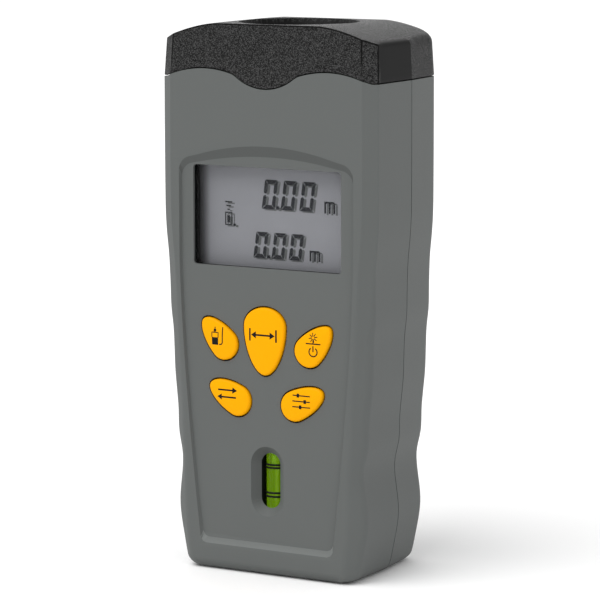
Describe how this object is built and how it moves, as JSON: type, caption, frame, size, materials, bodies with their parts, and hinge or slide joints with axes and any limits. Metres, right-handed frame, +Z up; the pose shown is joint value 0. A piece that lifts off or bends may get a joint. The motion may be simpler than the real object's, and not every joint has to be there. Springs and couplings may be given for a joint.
{
  "type": "handheld distance meter",
  "caption": "Handheld distance meter with a sounding horn in its top, laser pointer, display, amber keys, level vial and a tilting battery door.",
  "frame": {"origin": "middle of the flat base that the meter stands on", "axes": "+Z up along the meter towards the horn, +Y towards the back, -Y is the display side, +X to the right of the display"},
  "size_m": [0.0644, 0.0393, 0.1447],
  "materials": {
    "case_plastic": "moulded, fine spark texture",
    "cap_plastic": "moulded, coarse grain",
    "key_silicone": "moulded silicone, satin",
    "window_acrylic": "clear, polished",
    "display_glass": "polariser film",
    "reflector_film": "satin film",
    "black_plastic": "moulded",
    "black_rubber": "moulded",
    "carbon": "conductive pill",
    "board": "solder mask over glass fibre",
    "steel": "plated",
    "can_metal": "drawn can",
    "brass": "turned",
    "vial_acrylic": "clear, polished",
    "spirit": "dyed liquid",
    "bubble": "air bubble",
    "white_plastic": "moulded",
    "battery_jacket": "printed jacket",
    "red_sleeve": "insulation",
    "black_sleeve": "insulation"
  },
  "bodies": {
    "case": {"back_shell": "case_plastic", "battery": "battery_jacket", "battery_lead_black": "black_sleeve", "battery_lead_red": "red_sleeve", "battery_snap": "black_rubber", "battery_terminal_minus": "steel", "battery_terminal_plus": "steel", "board_screw_1": "steel", "board_screw_2": "steel", "board_screw_3": "steel", "board_screw_4": "steel", "buzzer": "black_plastic", "capacitor_1": "can_metal", "capacitor_2": "can_metal", "case_screw_1": "steel", "case_screw_2": "steel", "case_screw_3": "steel", "case_screw_4": "steel", "chip_blob": "black_plastic", "crystal": "can_metal", "display_window": "window_acrylic", "drive_transformer": "black_plastic", "front_shell": "case_plastic", "horn_funnel": "cap_plastic", "keypad_mat": "black_rubber", "laser_diode": "steel", "laser_holder": "black_plastic", "laser_housing": "brass", "laser_lead": "white_plastic", "laser_lens": "window_acrylic", "laser_window": "window_acrylic", "lcd_frame": "black_plastic", "lcd_front_glass": "display_glass", "lcd_rear_glass": "display_glass", "lcd_reflector": "reflector_film", "level_fluid": "spirit", "level_vial": "vial_acrylic", "main_board": "board", "top_cap": "cap_plastic", "transducer_base": "black_rubber", "transducer_can": "can_metal", "transducer_lead_1": "white_plastic", "transducer_lead_2": "white_plastic", "transducer_mesh": "can_metal", "transducer_seat": "black_rubber", "vial_holder": "black_plastic", "vial_plug": "white_plastic", "zebra_strip": "black_rubber"},
    "measure_key": {"key_measure": "key_silicone", "pill_measure": "carbon"},
    "reference_key": {"key_reference": "key_silicone", "pill_reference": "carbon"},
    "laser_key": {"key_laser": "key_silicone", "pill_laser": "carbon"},
    "units_key": {"key_units": "key_silicone", "pill_units": "carbon"},
    "set_key": {"key_set": "key_silicone", "pill_set": "carbon"},
    "door": {"battery_door": "case_plastic"},
    "bubble": {"level_bubble": "bubble"}
  },
  "joints": [
    {"name": "measure_press", "type": "slide", "parent": "case", "child": "measure_key", "axis": [0, 1, 0], "range_m": [0, 0.001], "stiffness_N_per_m": 900},
    {"name": "reference_press", "type": "slide", "parent": "case", "child": "reference_key", "axis": [0, 1, 0], "range_m": [0, 0.001], "stiffness_N_per_m": 900},
    {"name": "laser_press", "type": "slide", "parent": "case", "child": "laser_key", "axis": [0, 1, 0], "range_m": [0, 0.001], "stiffness_N_per_m": 900},
    {"name": "units_press", "type": "slide", "parent": "case", "child": "units_key", "axis": [0, 1, 0], "range_m": [0, 0.001], "stiffness_N_per_m": 900},
    {"name": "set_press", "type": "slide", "parent": "case", "child": "set_key", "axis": [0, 1, 0], "range_m": [0, 0.001], "stiffness_N_per_m": 900},
    {"name": "door_tilt", "type": "hinge", "parent": "case", "child": "door", "pos_m": [0, 0.0195, 0.004], "axis": [-1, 0, 0], "range_deg": [0, 90]},
    {"name": "bubble_run", "type": "slide", "parent": "case", "child": "bubble", "axis": [0, 0, -1], "range_m": [0, 0.0113]}
  ]
}
